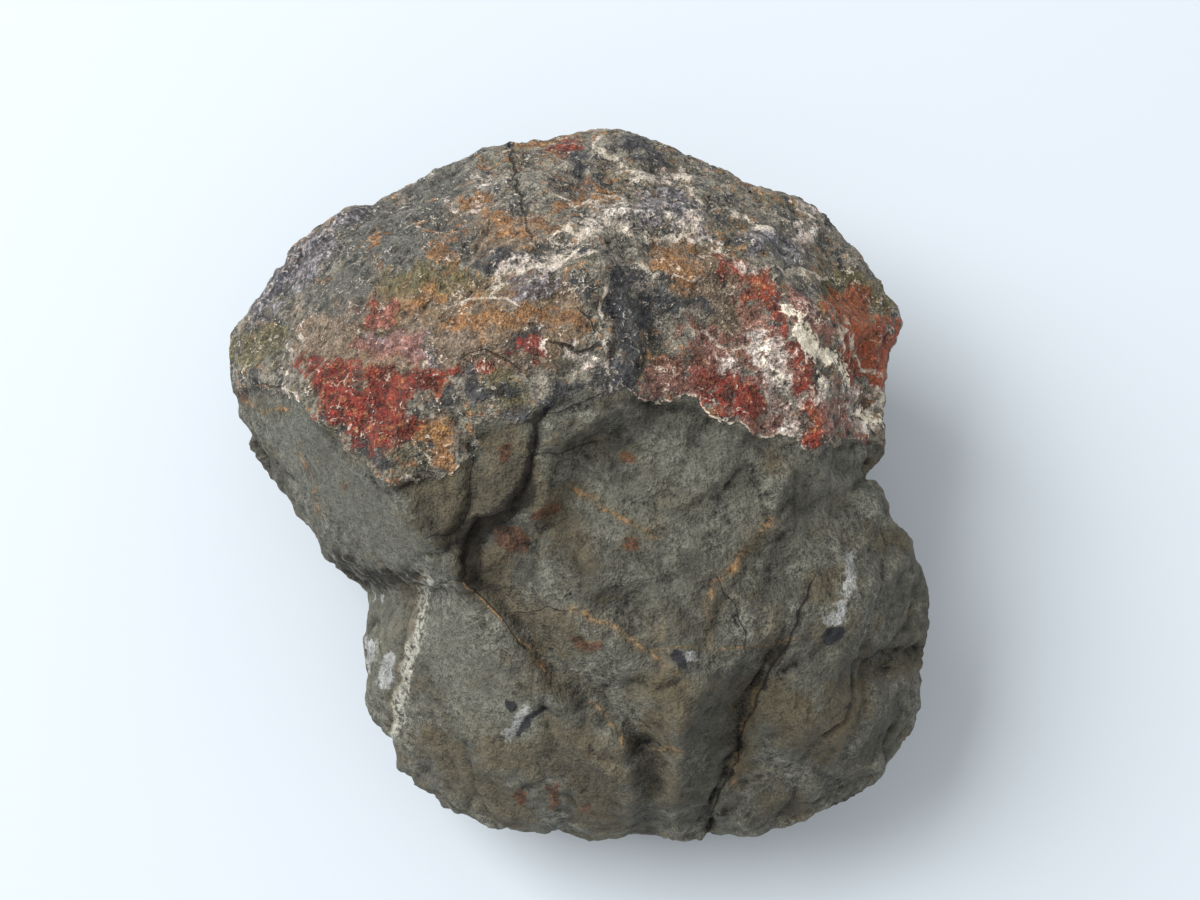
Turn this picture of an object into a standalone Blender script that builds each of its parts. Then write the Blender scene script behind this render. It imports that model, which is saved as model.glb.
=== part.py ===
"""A broken lump of grey dolomite rock, about 130 mm across, with a rough mineral crust over the back of its top.

The stone is one solid. It is roughed out as three masses, each the convex hull of its corners, because a
stone splits in flat faces between its corners. The masses are joined, the joined rough is carved along its
cracks, creases and hollows, and its skin is roughened: coarsely on the crust, finely on the grey stone.
Last, it is cut flat where it rests.

The frame: x to the right, y to the back, z up, with the origin in the middle under the stone, where it rests.
Corners and lines are written in millimetres for a stone that is about ROCK_WIDTH wide, and the finished
stone is brought to exactly that width.
"""

import bmesh
import bpy
import numpy as np
from mathutils import Vector, noise

ROCK_WIDTH = 130.0  # mm, the whole stone from left to right
NODE = "dolomite_rock"
GRAIN = 1.1  # mm, the spacing of the mesh that is carved
TRIANGLES = 9000  # of the finished solid
BED_HEIGHT = 0.0  # mm, the height of the flat that the stone rests on
STONE_MIDDLE = (0, 4, 34)  # mm, a place well inside the stone
SKIN_AREA = 45000  # mm2, about the whole outside of the stone
CHIP_SIZE = 11.0  # mm, about how wide the chipped facets are
CHIP_TILT = 0.13  # how far the facets lean away from the face they are in
CHIP_HOLLOW = 0.02  # per mm, how much the facets are dished
CHIP_DEPTH = 1.6  # mm, the most that a facet takes away
CHIP_RISE = 1.0  # mm, the most that a facet adds
CHIP_TURN = 12  # mm, how far off a facet's plane counts as being for skin that faces square to it
CHIP_DICE = 3  # the seed of their places and leans

# The left mass: the highest one, with a clean split face that leans out over the left side.
LEFT_RIM = [
    (-66, 27, 34), (-64, 15, 31), (-55, -1.5, 27), (-46, -11, 31), (-40, -14.5, 34), (-31, -18.5, 42),
    (-58, 42.5, 34), (-46, 48, 46), (-32, 59, 37), (-18, 62, 48), (-3, 68, 39), (6, 63, 50),
]
LEFT_TOP = [
    (-47, 8, 60), (-30, -9, 63.5), (-19, -22, 56), (-38, 25, 64), (-25, 36, 66), (-9, 44, 66),
    (4, 29, 76), (6, 15, 77.5), (5.5, 5, 75), (-5, -8, 70), (-7, -11, 68), (-12, -14, 65),
    (-22, -17, 61), (-15, 15, 76), (-29, 2, 68), (-32, -19, 44),
    (9.5, 27, 73), (14, 19, 69), (13, 10, 67), (11, 4, 66),
]
LEFT_FOOT = [
    (-60, 25, 16), (-55, 39, 12), (-41, 52, 18), (-24, 58, 10), (-4, 61, 17), (12, 59, 16),
    (-44.5, -13.5, 18), (-43, -15, 12), (-38, -17, 12), (-32, -17.5, 30), (-36, -6, 5), (-47, 8, 9),
    (-30, -8, 4), (-46, 26, 3), (-36, 40, 2), (-8, 52, 3), (12, 50, 2),
    (-38, 26, -3), (-28, 34, -3), (-2, 44, -3), (0, 0, -3),
]

# What is broken out of the left mass above the small brown ledge, where the crust ends in a low wall.
LEDGE_NOTCH = [
    (-4.5, -1.5, 64.5), (5.5, 4.5, 66), (20, 9, 66), (20, -18, 59), (-4.5, -18, 59),
    (-5.5, -0.5, 90), (5, 6, 90), (20, 11, 90), (20, -18, 90), (-5.5, -18, 90),
]

# The right mass: lower, with the stained and veined face that slopes away to the right.
RIGHT_RIM = [
    (-3, 68, 39), (4, 65, 50), (13, 66, 41), (21, 57, 50), (34, 54, 41), (44, 50, 48),
    (51, 45, 41), (58.5, 34, 42), (58.5, 24, 38), (57, 15.5, 41), (56, 7, 38),
]
RIGHT_TOP = [
    (4, 43, 68), (4, 28, 74), (11, 9, 69), (9, 3, 67), (21, 1, 66), (31, 0, 63),
    (41, 0, 60), (51, 4, 48), (21, 27, 72), (35, 27, 68), (46, 24, 60), (32, 37, 66),
]
RIGHT_FOOT = [
    (4, 61, 22), (24, 56, 16), (42, 47, 22), (54, 32, 20), (55, 12, 24), (52, 2, 16),
    (-8, 54, 3), (30, 48, 3), (47, 28, 4), (47, 4, 4), (44, -8, 4),
    (0, 44, -3), (26, 40, -3), (40, 24, -3), (40, -4, -3), (0, 0, -3),
]

# The front mass: bare grey stone, broad on top and falling away to the front.
FRONT_RIM = [
    (59, -9, 42), (63, -13, 40), (60, -23, 38), (60, -38, 34), (60, -42, 32), (54.5, -52.5, 29),
    (39, -59.5, 29), (33, -61.5, 30), (24, -60, 20), (12, -62, 25), (-3, -60.5, 18), (-15, -61.5, 25),
    (-27, -54, 17), (-31.5, -50.5, 21), (-36, -46, 20), (-41.5, -39, 20), (-41.5, -27, 22), (-39, -18, 22),
]
FRONT_TOP = [
    (-19, -22, 53), (-2, -2, 63), (11, 4, 66), (21, 0, 66), (40, -1, 60), (52, 1, 44),
    (-25, -22, 43), (-32, -46, 26), (-10, -31, 54), (4, -33, 61), (21, -37, 61), (38, -26, 59),
    (50, -24, 53), (19, -43, 58), (9, -51, 48), (-4, -44, 48), (-4, -56, 38), (36, -44, 52),
    (48, -42, 46), (44, -51, 37), (19, -57, 43), (58, -18, 44), (-17, -50, 38),
]
FRONT_FOOT = [
    (57, -14, 24), (56, -34, 16), (47, -49, 17), (28, -58, 12), (4, -59, 15), (-17, -56, 10),
    (-31, -44, 12), (-36, -27, 9), (46, 4, 8), (44, -12, 4), (42, -36, 3), (18, -50, 3),
    (-10, -50, 4), (-28, -36, 3), (-30, -12, 4),
    (38, -12, -3), (34, -32, -3), (14, -42, -3), (-8, -40, -3), (-20, -28, -3), (-20, -8, -3), (0, 10, -3),
]

# Creases, cracks and hollows. Each is a line over the top seen from above, and each of its points tells where
# it is, how deep the stone is pressed down there, and how far the pressed walls reach to the left and to the
# right of the line as it is written.
CARVINGS = [
    # the long crack at the front: its left wall in plan is the short one, its right wall the broad dark one
    [(39.5, -23, 0, 3, 1), (38.5, -28, 2, 5, 2), (35.5, -35, 4, 8, 5), (31, -42.5, 5, 9, 10),
     (29, -48, 5.5, 9, 11), (26.5, -56, 5, 8, 9), (25, -63, 1.5, 6, 5)],
    # the valley beside the high edge of the flat face at the front left
    [(-15, -23, 1, 3, 2), (-6.5, -31.5, 3, 8, 4), (0.5, -39, 3.5, 8, 4), (9, -43.5, 4, 7, 4),
     (13.5, -51.5, 4.5, 5, 4), (14.5, -62, 1.5, 4, 4)],
    # the hollow between the end of the left ridge and the front mass
    [(-16, -14.5, 5, 2.5, 3), (-15.5, -19, 6, 2, 3), (-17, -22, 3, 1, 1.5)],
    # the deep gutter below the lip of the left mass
    [(-19, -16.5, 3, 4, 2), (-15, -15.5, 5, 5, 2), (-10.5, -14.2, 5, 5, 1.5), (-5, -11.5, 4, 5, 1.5),
     (-4, -6, 3, 5, 1), (-3.8, -2, 1.5, 3, 1)],
    # two gutters in the lip
    [(-15.5, 0, 0.5, 2, 2), (-16, -6, 2, 2, 2), (-18.5, -12, 2.5, 2, 2), (-22, -16.5, 2.5, 2, 2)],
    [(-10.5, -1, 1, 1.5, 1.5), (-9.5, -7, 1.5, 2, 2)],
    # the step down the right part of the grey face
    [(42.5, -5, 1, 12, 4), (39.5, -14, 2.5, 13, 5), (36.5, -21.5, 2.5, 9, 5), (34, -28, 1.5, 4, 4)],
    # a shallow step across the middle of the grey face
    [(29, -4, 1.5, 7, 2.5), (22, -9.5, 2, 8, 2.5), (14.5, -13.5, 1, 6, 2)],
    # folds at the right edge
    [(60, -31, 1.5, 2, 4), (54, -33.5, 2.5, 2, 5), (46, -37, 1, 3, 4)],
    [(58, -44, 1.5, 4, 5), (52, -46.5, 2.5, 4, 6), (37, -50, 1, 4, 5)],
]

# The crust's front edge, from left to right. Behind it the skin is coarse.
CRUST_EDGE = [(-66, 8), (-47, 8), (-30, -8), (-16, -3), (-4, -1), (6, 4), (21, 1), (41, -1), (66, 6)]

# The inner edges of the clean split faces: of the left flank, and of the flat face at the front left.
SPLIT_FACES = [
    [(-72, 26), (-47, 8), (-30, -9), (-17, -22), (-60, -22)],
    [(-60, -22), (-19, -22), (-11, -29), (-4, -39), (-20, -60)],
]


def hull(name, corners):
    """A closed mass with flat faces between its corners."""
    shape = bmesh.new()
    for corner in corners:
        shape.verts.new(corner)
    made = bmesh.ops.convex_hull(shape, input=shape.verts)
    inside = [v for v in made["geom_interior"] if isinstance(v, bmesh.types.BMVert)]
    bmesh.ops.delete(shape, geom=inside, context="VERTS")
    bmesh.ops.recalc_face_normals(shape, faces=shape.faces)
    mesh = bpy.data.meshes.new(name)
    shape.to_mesh(mesh)
    shape.free()
    mass = bpy.data.objects.new(name, mesh)
    bpy.context.scene.collection.objects.link(mass)
    return mass


def combine(mass, other, way):
    """Adds the other mass to this one, or takes it away."""
    step = mass.modifiers.new(other.name, "BOOLEAN")
    step.operation = way
    step.solver = "EXACT"
    step.object = other


def evaluated_mesh(thing):
    bpy.context.view_layer.update()
    graph = bpy.context.evaluated_depsgraph_get()
    return bpy.data.meshes.new_from_object(thing.evaluated_get(graph))


def evenly_meshed(mass):
    """The mass as it now is, on an even mesh."""
    even = mass.modifiers.new("even mesh", "REMESH")
    even.mode = "VOXEL"
    even.voxel_size = GRAIN
    return evaluated_mesh(mass)


def beside(line, points):
    """For each point seen from above: its distance from the line, positive on the line's left, and how far
    along the line it lies, counted in the line's points."""
    line = np.array(line, float)
    nearest = np.full(len(points), np.inf)
    signed = np.zeros(len(points))
    place = np.zeros(len(points))
    for number, (start, end) in enumerate(zip(line[:-1], line[1:])):
        step = end - start
        offset = points - start
        along = np.clip(offset @ step / (step @ step), 0, 1)
        distance = np.linalg.norm(offset - along[:, None] * step, axis=1)
        side = np.sign(step[0] * offset[:, 1] - step[1] * offset[:, 0])
        closer = distance < nearest
        nearest[closer] = distance[closer]
        signed[closer] = (side * distance)[closer]
        place[closer] = (number + along)[closer]
    return signed, place


def carve(points, normals):
    """Presses the creases and cracks down into the faces that look up."""
    upward = np.clip(normals[:, 2] * 4 - 1, 0, 1)
    pressed = np.zeros(len(points))
    for cut in CARVINGS:
        line = np.array(cut)
        signed, place = beside(line[:, :2], points[:, :2])
        depth, left, right = (np.interp(place, range(len(line)), line[:, column]) for column in (2, 3, 4))
        wall = np.clip(1 - np.abs(signed) / np.where(signed > 0, left, right), 0, 1)
        pressed = np.maximum(pressed, wall * depth)
    carved = points.copy()
    carved[:, 2] -= pressed * upward
    return carved


def crust_share(points):
    """1 on the crust and 0 on the grey stone, by the side of the crust's edge a point is on."""
    signed, _ = beside(CRUST_EDGE, points[:, :2])
    behind = np.clip(signed / 3 + 0.5, 0, 1)
    return behind * np.clip((points[:, 2] - 25) / 15, 0, 1)


def layered(point, size, octaves):
    """Smooth noise, about -1 to 1, whose largest lumps are as big as size in mm."""
    return noise.fractal(Vector(point) / size, 0.9, 2.1, octaves)


def split_face(points):
    """1 on the two clean split faces, which have hardly any chips, and 0 elsewhere."""
    share = np.zeros(len(points))
    for edge in SPLIT_FACES:
        signed, _ = beside(edge, points[:, :2])
        share = np.maximum(share, np.clip(1 - signed / 6, 0, 1))
    return share * (points[:, 0] < 0) * np.clip((points[:, 2] - 18) / 8, 0, 1)


def spread_places(points):
    """The numbers of skin points spread evenly, but not in rows, as seen from the middle of the stone."""
    dice = np.random.default_rng(CHIP_DICE)
    count = int(SKIN_AREA / CHIP_SIZE**2)
    steps = np.arange(count) + dice.uniform(-0.5, 0.5, count)
    height = np.clip(1 - 2 * (steps + 0.5) / count, -1, 1)
    turn = steps * np.pi * (3 - np.sqrt(5)) + dice.normal(0, 0.12, count)
    reach = np.sqrt(1 - height**2)
    ways = np.stack([reach * np.cos(turn), reach * np.sin(turn), height], axis=1)
    outward = points - STONE_MIDDLE
    outward /= np.linalg.norm(outward, axis=1)[:, None]
    return np.array([np.argmax(outward @ way) for way in ways])


def chip(points, normals):
    """Breaks the skin into many small dished facets.

    Every facet is one random plane through a place on the skin, slightly dished, and the skin follows whichever
    plane is lowest, so that neighbouring facets meet in sharp low ridges. A facet has no hold on skin that faces
    another way."""
    chosen = spread_places(points)
    lean = np.random.default_rng(CHIP_DICE + 1).normal(0, CHIP_TILT, (len(chosen), 3))
    lowest = np.full(len(points), 9.0)
    for centre, facing, plane in zip(points[chosen], normals[chosen], normals[chosen] + lean):
        reach = points - centre
        square = np.einsum("ij,ij->i", reach, reach)
        near = square < (3 * CHIP_SIZE) ** 2
        height = CHIP_HOLLOW * square[near] - reach[near] @ (plane / np.linalg.norm(plane))
        height += CHIP_TURN * (1 - normals[near] @ facing)
        lowest[near] = np.minimum(lowest[near], height)
    facets = np.clip(lowest, -CHIP_DEPTH, CHIP_RISE) * (1 - 0.9 * split_face(points))
    return points + normals * facets[:, None]


def roughen(points, normals):
    """Lumps over the whole skin, stronger on the crust."""
    crust = crust_share(points)
    moved = []
    for point, normal, coarse in zip(points, normals, crust):
        swell = 0.7 * layered(point, 26, 2)
        grain = 0.25 * layered(point + 40, 8, 2)
        lumps = 0.6 * layered(point + 90, 7, 3)
        moved.append(point + normal * (swell + grain + coarse * lumps))
    return np.array(moved)


def shape_skin(mesh):
    """Carves and roughens the rough where it stands."""
    count = len(mesh.vertices)
    points = np.empty(count * 3, np.float32)
    mesh.vertices.foreach_get("co", points)
    points = points.reshape(-1, 3).astype(float)
    for change in (chip, carve, roughen):
        normals = np.empty(count * 3, np.float32)
        mesh.vertex_normals.foreach_get("vector", normals)
        points = change(points, normals.reshape(-1, 3).astype(float))
        mesh.vertices.foreach_set("co", points.astype(np.float32).ravel())
        mesh.update()


def soften(mesh, rounds):
    """Wears the sharp edges that the joining left."""
    shape = bmesh.new()
    shape.from_mesh(mesh)
    for _ in range(rounds):
        bmesh.ops.smooth_vert(shape, verts=shape.verts, factor=0.5, use_axis_x=True, use_axis_y=True, use_axis_z=True)
    shape.to_mesh(mesh)
    shape.free()


def thinned(mesh):
    """The same skin with the number of triangles that the solid may have."""
    holder = bpy.data.objects.new("holder", mesh)
    bpy.context.scene.collection.objects.link(holder)
    fewer = holder.modifiers.new("fewer faces", "DECIMATE")
    mesh.calc_loop_triangles()
    fewer.ratio = TRIANGLES / len(mesh.loop_triangles)
    fewer.use_collapse_triangulate = True
    result = evaluated_mesh(holder)
    bpy.data.objects.remove(holder)
    return result


def cut_bed(mesh):
    """Cuts the underside flat where the stone rests, and centres the stone over the origin, in metres."""
    shape = bmesh.new()
    shape.from_mesh(mesh)
    everything = [*shape.verts, *shape.edges, *shape.faces]
    cut = bmesh.ops.bisect_plane(
        shape, geom=everything, dist=0.001, plane_co=(0, 0, BED_HEIGHT), plane_no=(0, 0, 1), clear_inner=True
    )
    rim = [part for part in cut["geom_cut"] if isinstance(part, bmesh.types.BMEdge)]
    bmesh.ops.contextual_create(shape, geom=rim)
    bmesh.ops.recalc_face_normals(shape, faces=shape.faces)
    bmesh.ops.triangulate(shape, faces=shape.faces)
    corners = np.array([v.co for v in shape.verts])
    low, high = corners.min(axis=0), corners.max(axis=0)
    middle = (low + high) / 2
    to_metres = 0.001 * ROCK_WIDTH / (high[0] - low[0])
    bmesh.ops.translate(shape, verts=shape.verts, vec=(-middle[0], -middle[1], -BED_HEIGHT))
    bmesh.ops.scale(shape, verts=shape.verts, vec=(to_metres,) * 3)
    shape.to_mesh(mesh)
    shape.free()


def stone_material():
    material = bpy.data.materials.new("grey dolomite")
    material.use_nodes = True
    surface = material.node_tree.nodes["Principled BSDF"]
    surface.inputs["Base Color"].default_value = (0.125, 0.122, 0.105, 1)
    surface.inputs["Roughness"].default_value = 0.85
    surface.inputs["Metallic"].default_value = 0.0
    return material


def build():
    for leftover in list(bpy.context.scene.objects):
        bpy.data.objects.remove(leftover)
    left = hull("left mass", LEFT_RIM + LEFT_TOP + LEFT_FOOT)
    notch = hull("ledge notch", LEDGE_NOTCH)
    combine(left, notch, "DIFFERENCE")
    right = hull("right mass", RIGHT_RIM + RIGHT_TOP + RIGHT_FOOT)
    front = hull("front mass", FRONT_RIM + FRONT_TOP + FRONT_FOOT)
    combine(front, left, "UNION")
    combine(front, right, "UNION")
    mesh = evenly_meshed(front)
    for mass in (left, notch, right, front):
        bpy.data.objects.remove(mass)
    soften(mesh, 1)
    shape_skin(mesh)
    mesh = thinned(mesh)
    cut_bed(mesh)
    mesh.name = NODE
    mesh.materials.append(stone_material())
    rock = bpy.data.objects.new(NODE, mesh)
    bpy.context.scene.collection.objects.link(rock)
    mesh.shade_smooth()


build()
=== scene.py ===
import math

import bmesh
import bpy
import numpy as np
from mathutils import Matrix, Vector, noise


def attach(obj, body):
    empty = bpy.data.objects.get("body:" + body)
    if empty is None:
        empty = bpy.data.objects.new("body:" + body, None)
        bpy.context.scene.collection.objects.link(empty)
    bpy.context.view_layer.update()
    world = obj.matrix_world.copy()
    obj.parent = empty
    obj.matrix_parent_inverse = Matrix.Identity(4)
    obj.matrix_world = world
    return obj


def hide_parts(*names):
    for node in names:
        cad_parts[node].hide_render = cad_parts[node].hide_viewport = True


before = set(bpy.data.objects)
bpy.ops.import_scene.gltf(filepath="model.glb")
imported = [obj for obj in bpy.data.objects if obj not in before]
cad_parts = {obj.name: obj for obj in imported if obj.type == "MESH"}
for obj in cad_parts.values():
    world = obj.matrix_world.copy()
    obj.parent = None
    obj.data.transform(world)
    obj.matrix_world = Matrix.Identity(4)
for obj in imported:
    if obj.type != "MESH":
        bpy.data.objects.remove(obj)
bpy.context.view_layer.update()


# The view. The stone lies on a floor and is looked down on from in front, 15 degrees off the plumb line,
# through a lens of ordinary length. Its markings are placed by their pixels in this view.
PICTURE_WIDTH = 1200
PICTURE_HEIGHT = 900
LENS = 50.0
SENSOR = 36.0
ELEVATION = math.radians(75)
AIM = np.array((0.0056, 0.0052, 0.035))
PIXELS_PER_MM = 5.32
FOCAL_PIXELS = PICTURE_WIDTH * LENS / SENSOR
BACK = np.array((0.0, -math.cos(ELEVATION), math.sin(ELEVATION)))
RIGHT = np.array((1.0, 0.0, 0.0))
UP = np.cross(BACK, RIGHT)
EYE = AIM + BACK * FOCAL_PIXELS / PIXELS_PER_MM / 1000

camera = bpy.data.objects.new("camera", bpy.data.cameras.new("camera"))
bpy.context.scene.collection.objects.link(camera)
camera.data.lens = LENS
camera.data.sensor_width = SENSOR
camera.data.clip_start = 0.01
camera.location = EYE
camera.rotation_mode = "QUATERNION"
camera.rotation_quaternion = Vector(-BACK).to_track_quat("-Z", "Y")
bpy.context.scene.camera = camera


def picture_place(points):
    """Where points (rows of x, y, z in metres) are seen, in pixels from the picture's top left corner."""
    arm = points - EYE
    depth = -(arm @ BACK)
    across = PICTURE_WIDTH / 2 + FOCAL_PIXELS * (arm @ RIGHT) / depth
    down = PICTURE_HEIGHT / 2 - FOCAL_PIXELS * (arm @ UP) / depth
    return np.column_stack((across, down))


# The stone, one lump of grey dolomite as it broke off. Its skin is the solid's own shape with finer
# facets, and nothing is fixed to it: the crust on top is a part of the same stone.
SKIN_GRAIN = 0.0008
SKIN_EASING = 3
BED_LAYER = 0.0004

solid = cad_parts["dolomite_rock"]
skin = bmesh.new()
skin.from_mesh(solid.data)
bmesh.ops.remove_doubles(skin, verts=skin.verts, dist=1e-6)
stone = bpy.data.objects.new("dolomite_stone", bpy.data.meshes.new("dolomite_stone"))
bpy.context.scene.collection.objects.link(stone)
skin.to_mesh(stone.data)
skin.free()
fine = stone.modifiers.new("fine", "REMESH")
fine.mode = "VOXEL"
fine.voxel_size = SKIN_GRAIN
depsgraph = bpy.context.evaluated_depsgraph_get()
stone.data = bpy.data.meshes.new_from_object(stone.evaluated_get(depsgraph))
stone.data.name = "dolomite_stone"
stone.modifiers.clear()


def read_points():
    """The skin's points as rows of x, y, z in metres."""
    flat = np.empty(len(stone.data.vertices) * 3, np.float32)
    stone.data.vertices.foreach_get("co", flat)
    return flat.reshape(-1, 3).astype(float)


def write_points(points):
    stone.data.vertices.foreach_set("co", points.astype(np.float32).ravel())
    stone.data.update()


def read_normals():
    flat = np.empty(len(stone.data.vertices) * 3, np.float32)
    stone.data.vertex_normals.foreach_get("vector", flat)
    return flat.reshape(-1, 3).astype(float)


def eased(values, rounds):
    """values, one row to a point, each drawn halfway to the mean of its neighbours in every round."""
    count = len(stone.data.vertices)
    ends = np.empty(len(stone.data.edges) * 2, np.int32)
    stone.data.edges.foreach_get("vertices", ends)
    start, end = ends.reshape(-1, 2).T
    neighbours = np.bincount(start, minlength=count) + np.bincount(end, minlength=count)
    columns = values.reshape(count, -1).copy()
    for _ in range(rounds):
        for column in columns.T:
            total = np.bincount(start, column[end], count) + np.bincount(end, column[start], count)
            column += (total / np.maximum(neighbours, 1) - column) / 2
    return columns.reshape(values.shape)


bed = read_points()[:, 2] < BED_LAYER
points = eased(read_points(), SKIN_EASING)
points[bed, 2] = 0.0
write_points(points)


# What is seen from the camera is placed by the picture, in strokes: a half width in millimetres and the
# pixels that the stroke runs through. The crust ends along a line across the top of the stone.
CRUST_EDGE = ((180, 380), (232, 392), (262, 385), (285, 392), (302, 402), (320, 420), (342, 437), (366, 464),
              (395, 488), (412, 478), (430, 473), (455, 471), (467, 455), (480, 434), (497, 425), (513, 425),
              (533, 417), (545, 405), (560, 396), (580, 400), (600, 400), (615, 397), (627, 390), (640, 397),
              (663, 405), (690, 402), (707, 417), (737, 427), (757, 438), (793, 443), (823, 447), (873, 440),
              (930, 436))
CRUST_FOOT = 32.0
CRUST_FRONT = -5.0
CRUST_SLANT = 0.7
FOOT_WAVE_WIDTH = 13.0
FOOT_WAVE_HEIGHT = 9.0
FAR_OUT = -8.0
EDGE_ON = 0.02
FACE_ON = 0.22
LINE_FADE = (0.8, 2.4)


def smooth_rise(values, low, high):
    share = np.clip((values - low) / (high - low), 0, 1)
    return share * share * (3 - 2 * share)


def offsets_to(places, start, end):
    """From each place to the nearest point between start and end: how far, and how far aside of the run."""
    run = np.array(end, float) - start
    along = np.clip((places - start) @ run / (run @ run), 0, 1)
    gap = places - start - along[:, None] * run
    aside = (run[0] * (places[:, 1] - start[1]) - run[1] * (places[:, 0] - start[0])) / math.hypot(*run)
    return np.hypot(*gap.T), aside


def patch_depth(places, strokes):
    """How deep inside the strokes each place is, in millimetres: below nought outside them."""
    depth = np.full(len(places), FAR_OUT)
    for half_width, *line in strokes:
        runs = list(zip(line, line[1:])) or [(line[0], (line[0][0] + 0.1, line[0][1]))]
        for start, end in runs:
            gap, _ = offsets_to(places, start, end)
            depth = np.maximum(depth, half_width - gap / PIXELS_PER_MM)
    return depth


def line_offset(places, strokes):
    """How far aside of the nearest line each place is, in its half widths, and how near that line is."""
    nearest = np.full(len(places), 1e9)
    offset = np.full(len(places), 50.0)
    for half_width, *line in strokes:
        for start, end in zip(line, line[1:]):
            gap, aside = offsets_to(places, start, end)
            closer = gap < nearest
            nearest[closer] = gap[closer]
            offset[closer] = aside[closer] / PIXELS_PER_MM / half_width
    return offset, 1 - smooth_rise(nearest / PIXELS_PER_MM, *LINE_FADE)


def above_edge(places, edge):
    """How far above a line that crosses the picture each place is, in millimetres: below nought under it."""
    gap = np.min([offsets_to(places, start, end)[0] for start, end in zip(edge, edge[1:])], axis=0)
    edge_heights = np.interp(places[:, 0], [x for x, _ in edge], [y for _, y in edge])
    return np.where(places[:, 1] < edge_heights, gap, -gap) / PIXELS_PER_MM


def in_view(points, normals):
    """1 where the skin faces the camera, 0 where it is turned away from it."""
    to_eye = EYE - points
    to_eye /= np.linalg.norm(to_eye, axis=1)[:, None]
    return smooth_rise(np.sum(normals * to_eye, axis=1), EDGE_ON, FACE_ON)


def crust_depth(points, seen, places):
    """How far inside the crust the skin is, in millimetres. Out of view it reaches down the back."""
    wave = np.array([noise.noise(Vector(p * 1000 / FOOT_WAVE_WIDTH)) for p in points]) * FOOT_WAVE_HEIGHT
    above_foot = points[:, 2] * 1000 - CRUST_FOOT
    behind_front = (points[:, 1] * 1000 - CRUST_FRONT) * CRUST_SLANT
    out_of_view = np.minimum(above_foot, behind_front) + wave
    return seen * above_edge(places, CRUST_EDGE) + (1 - seen) * out_of_view


# The break's own relief: shallow scoops between crooked edges, drawn out along the grain of the stone, with
# a finer tooth on them, and a lumpy, pitted crust that stands proud of the grey stone.
SCOOP_WIDTH = 12.0
SCOOP_DEPTH = 0.85
SCOOP_BEND = 0.35
SCOOP_SPREAD = 2.2
FINER = 2.1
CHIP_WIDTH = 5.0
CHIP_DEPTH = 0.34
TOOTH_WIDTH = 2.4
TOOTH_DEPTH = 0.2
GRAIN_TURN = math.radians(24)
GRAIN_STRETCH = 1.6
LUMP_WIDTH = 3.6
LUMP_HEIGHT = 0.6
LUMP_BEND = 0.5
LUMP_BEND_WIDTH = 2.3
MOUND_WIDTH = 8.0
MOUND_HEIGHT = 1.0
CRUST_STEP = 0.4
SWELL = 0.35
HIDDEN_EXTRA = 0.9
PIT_WIDTH = 4.6
PIT_DEPTH = 0.8
PIT_REACH = 0.14
CRUST_TOOTH_WIDTH = 1.8
CRUST_TOOTH_DEPTH = 0.25
SWIRL_SEED = 1

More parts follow.
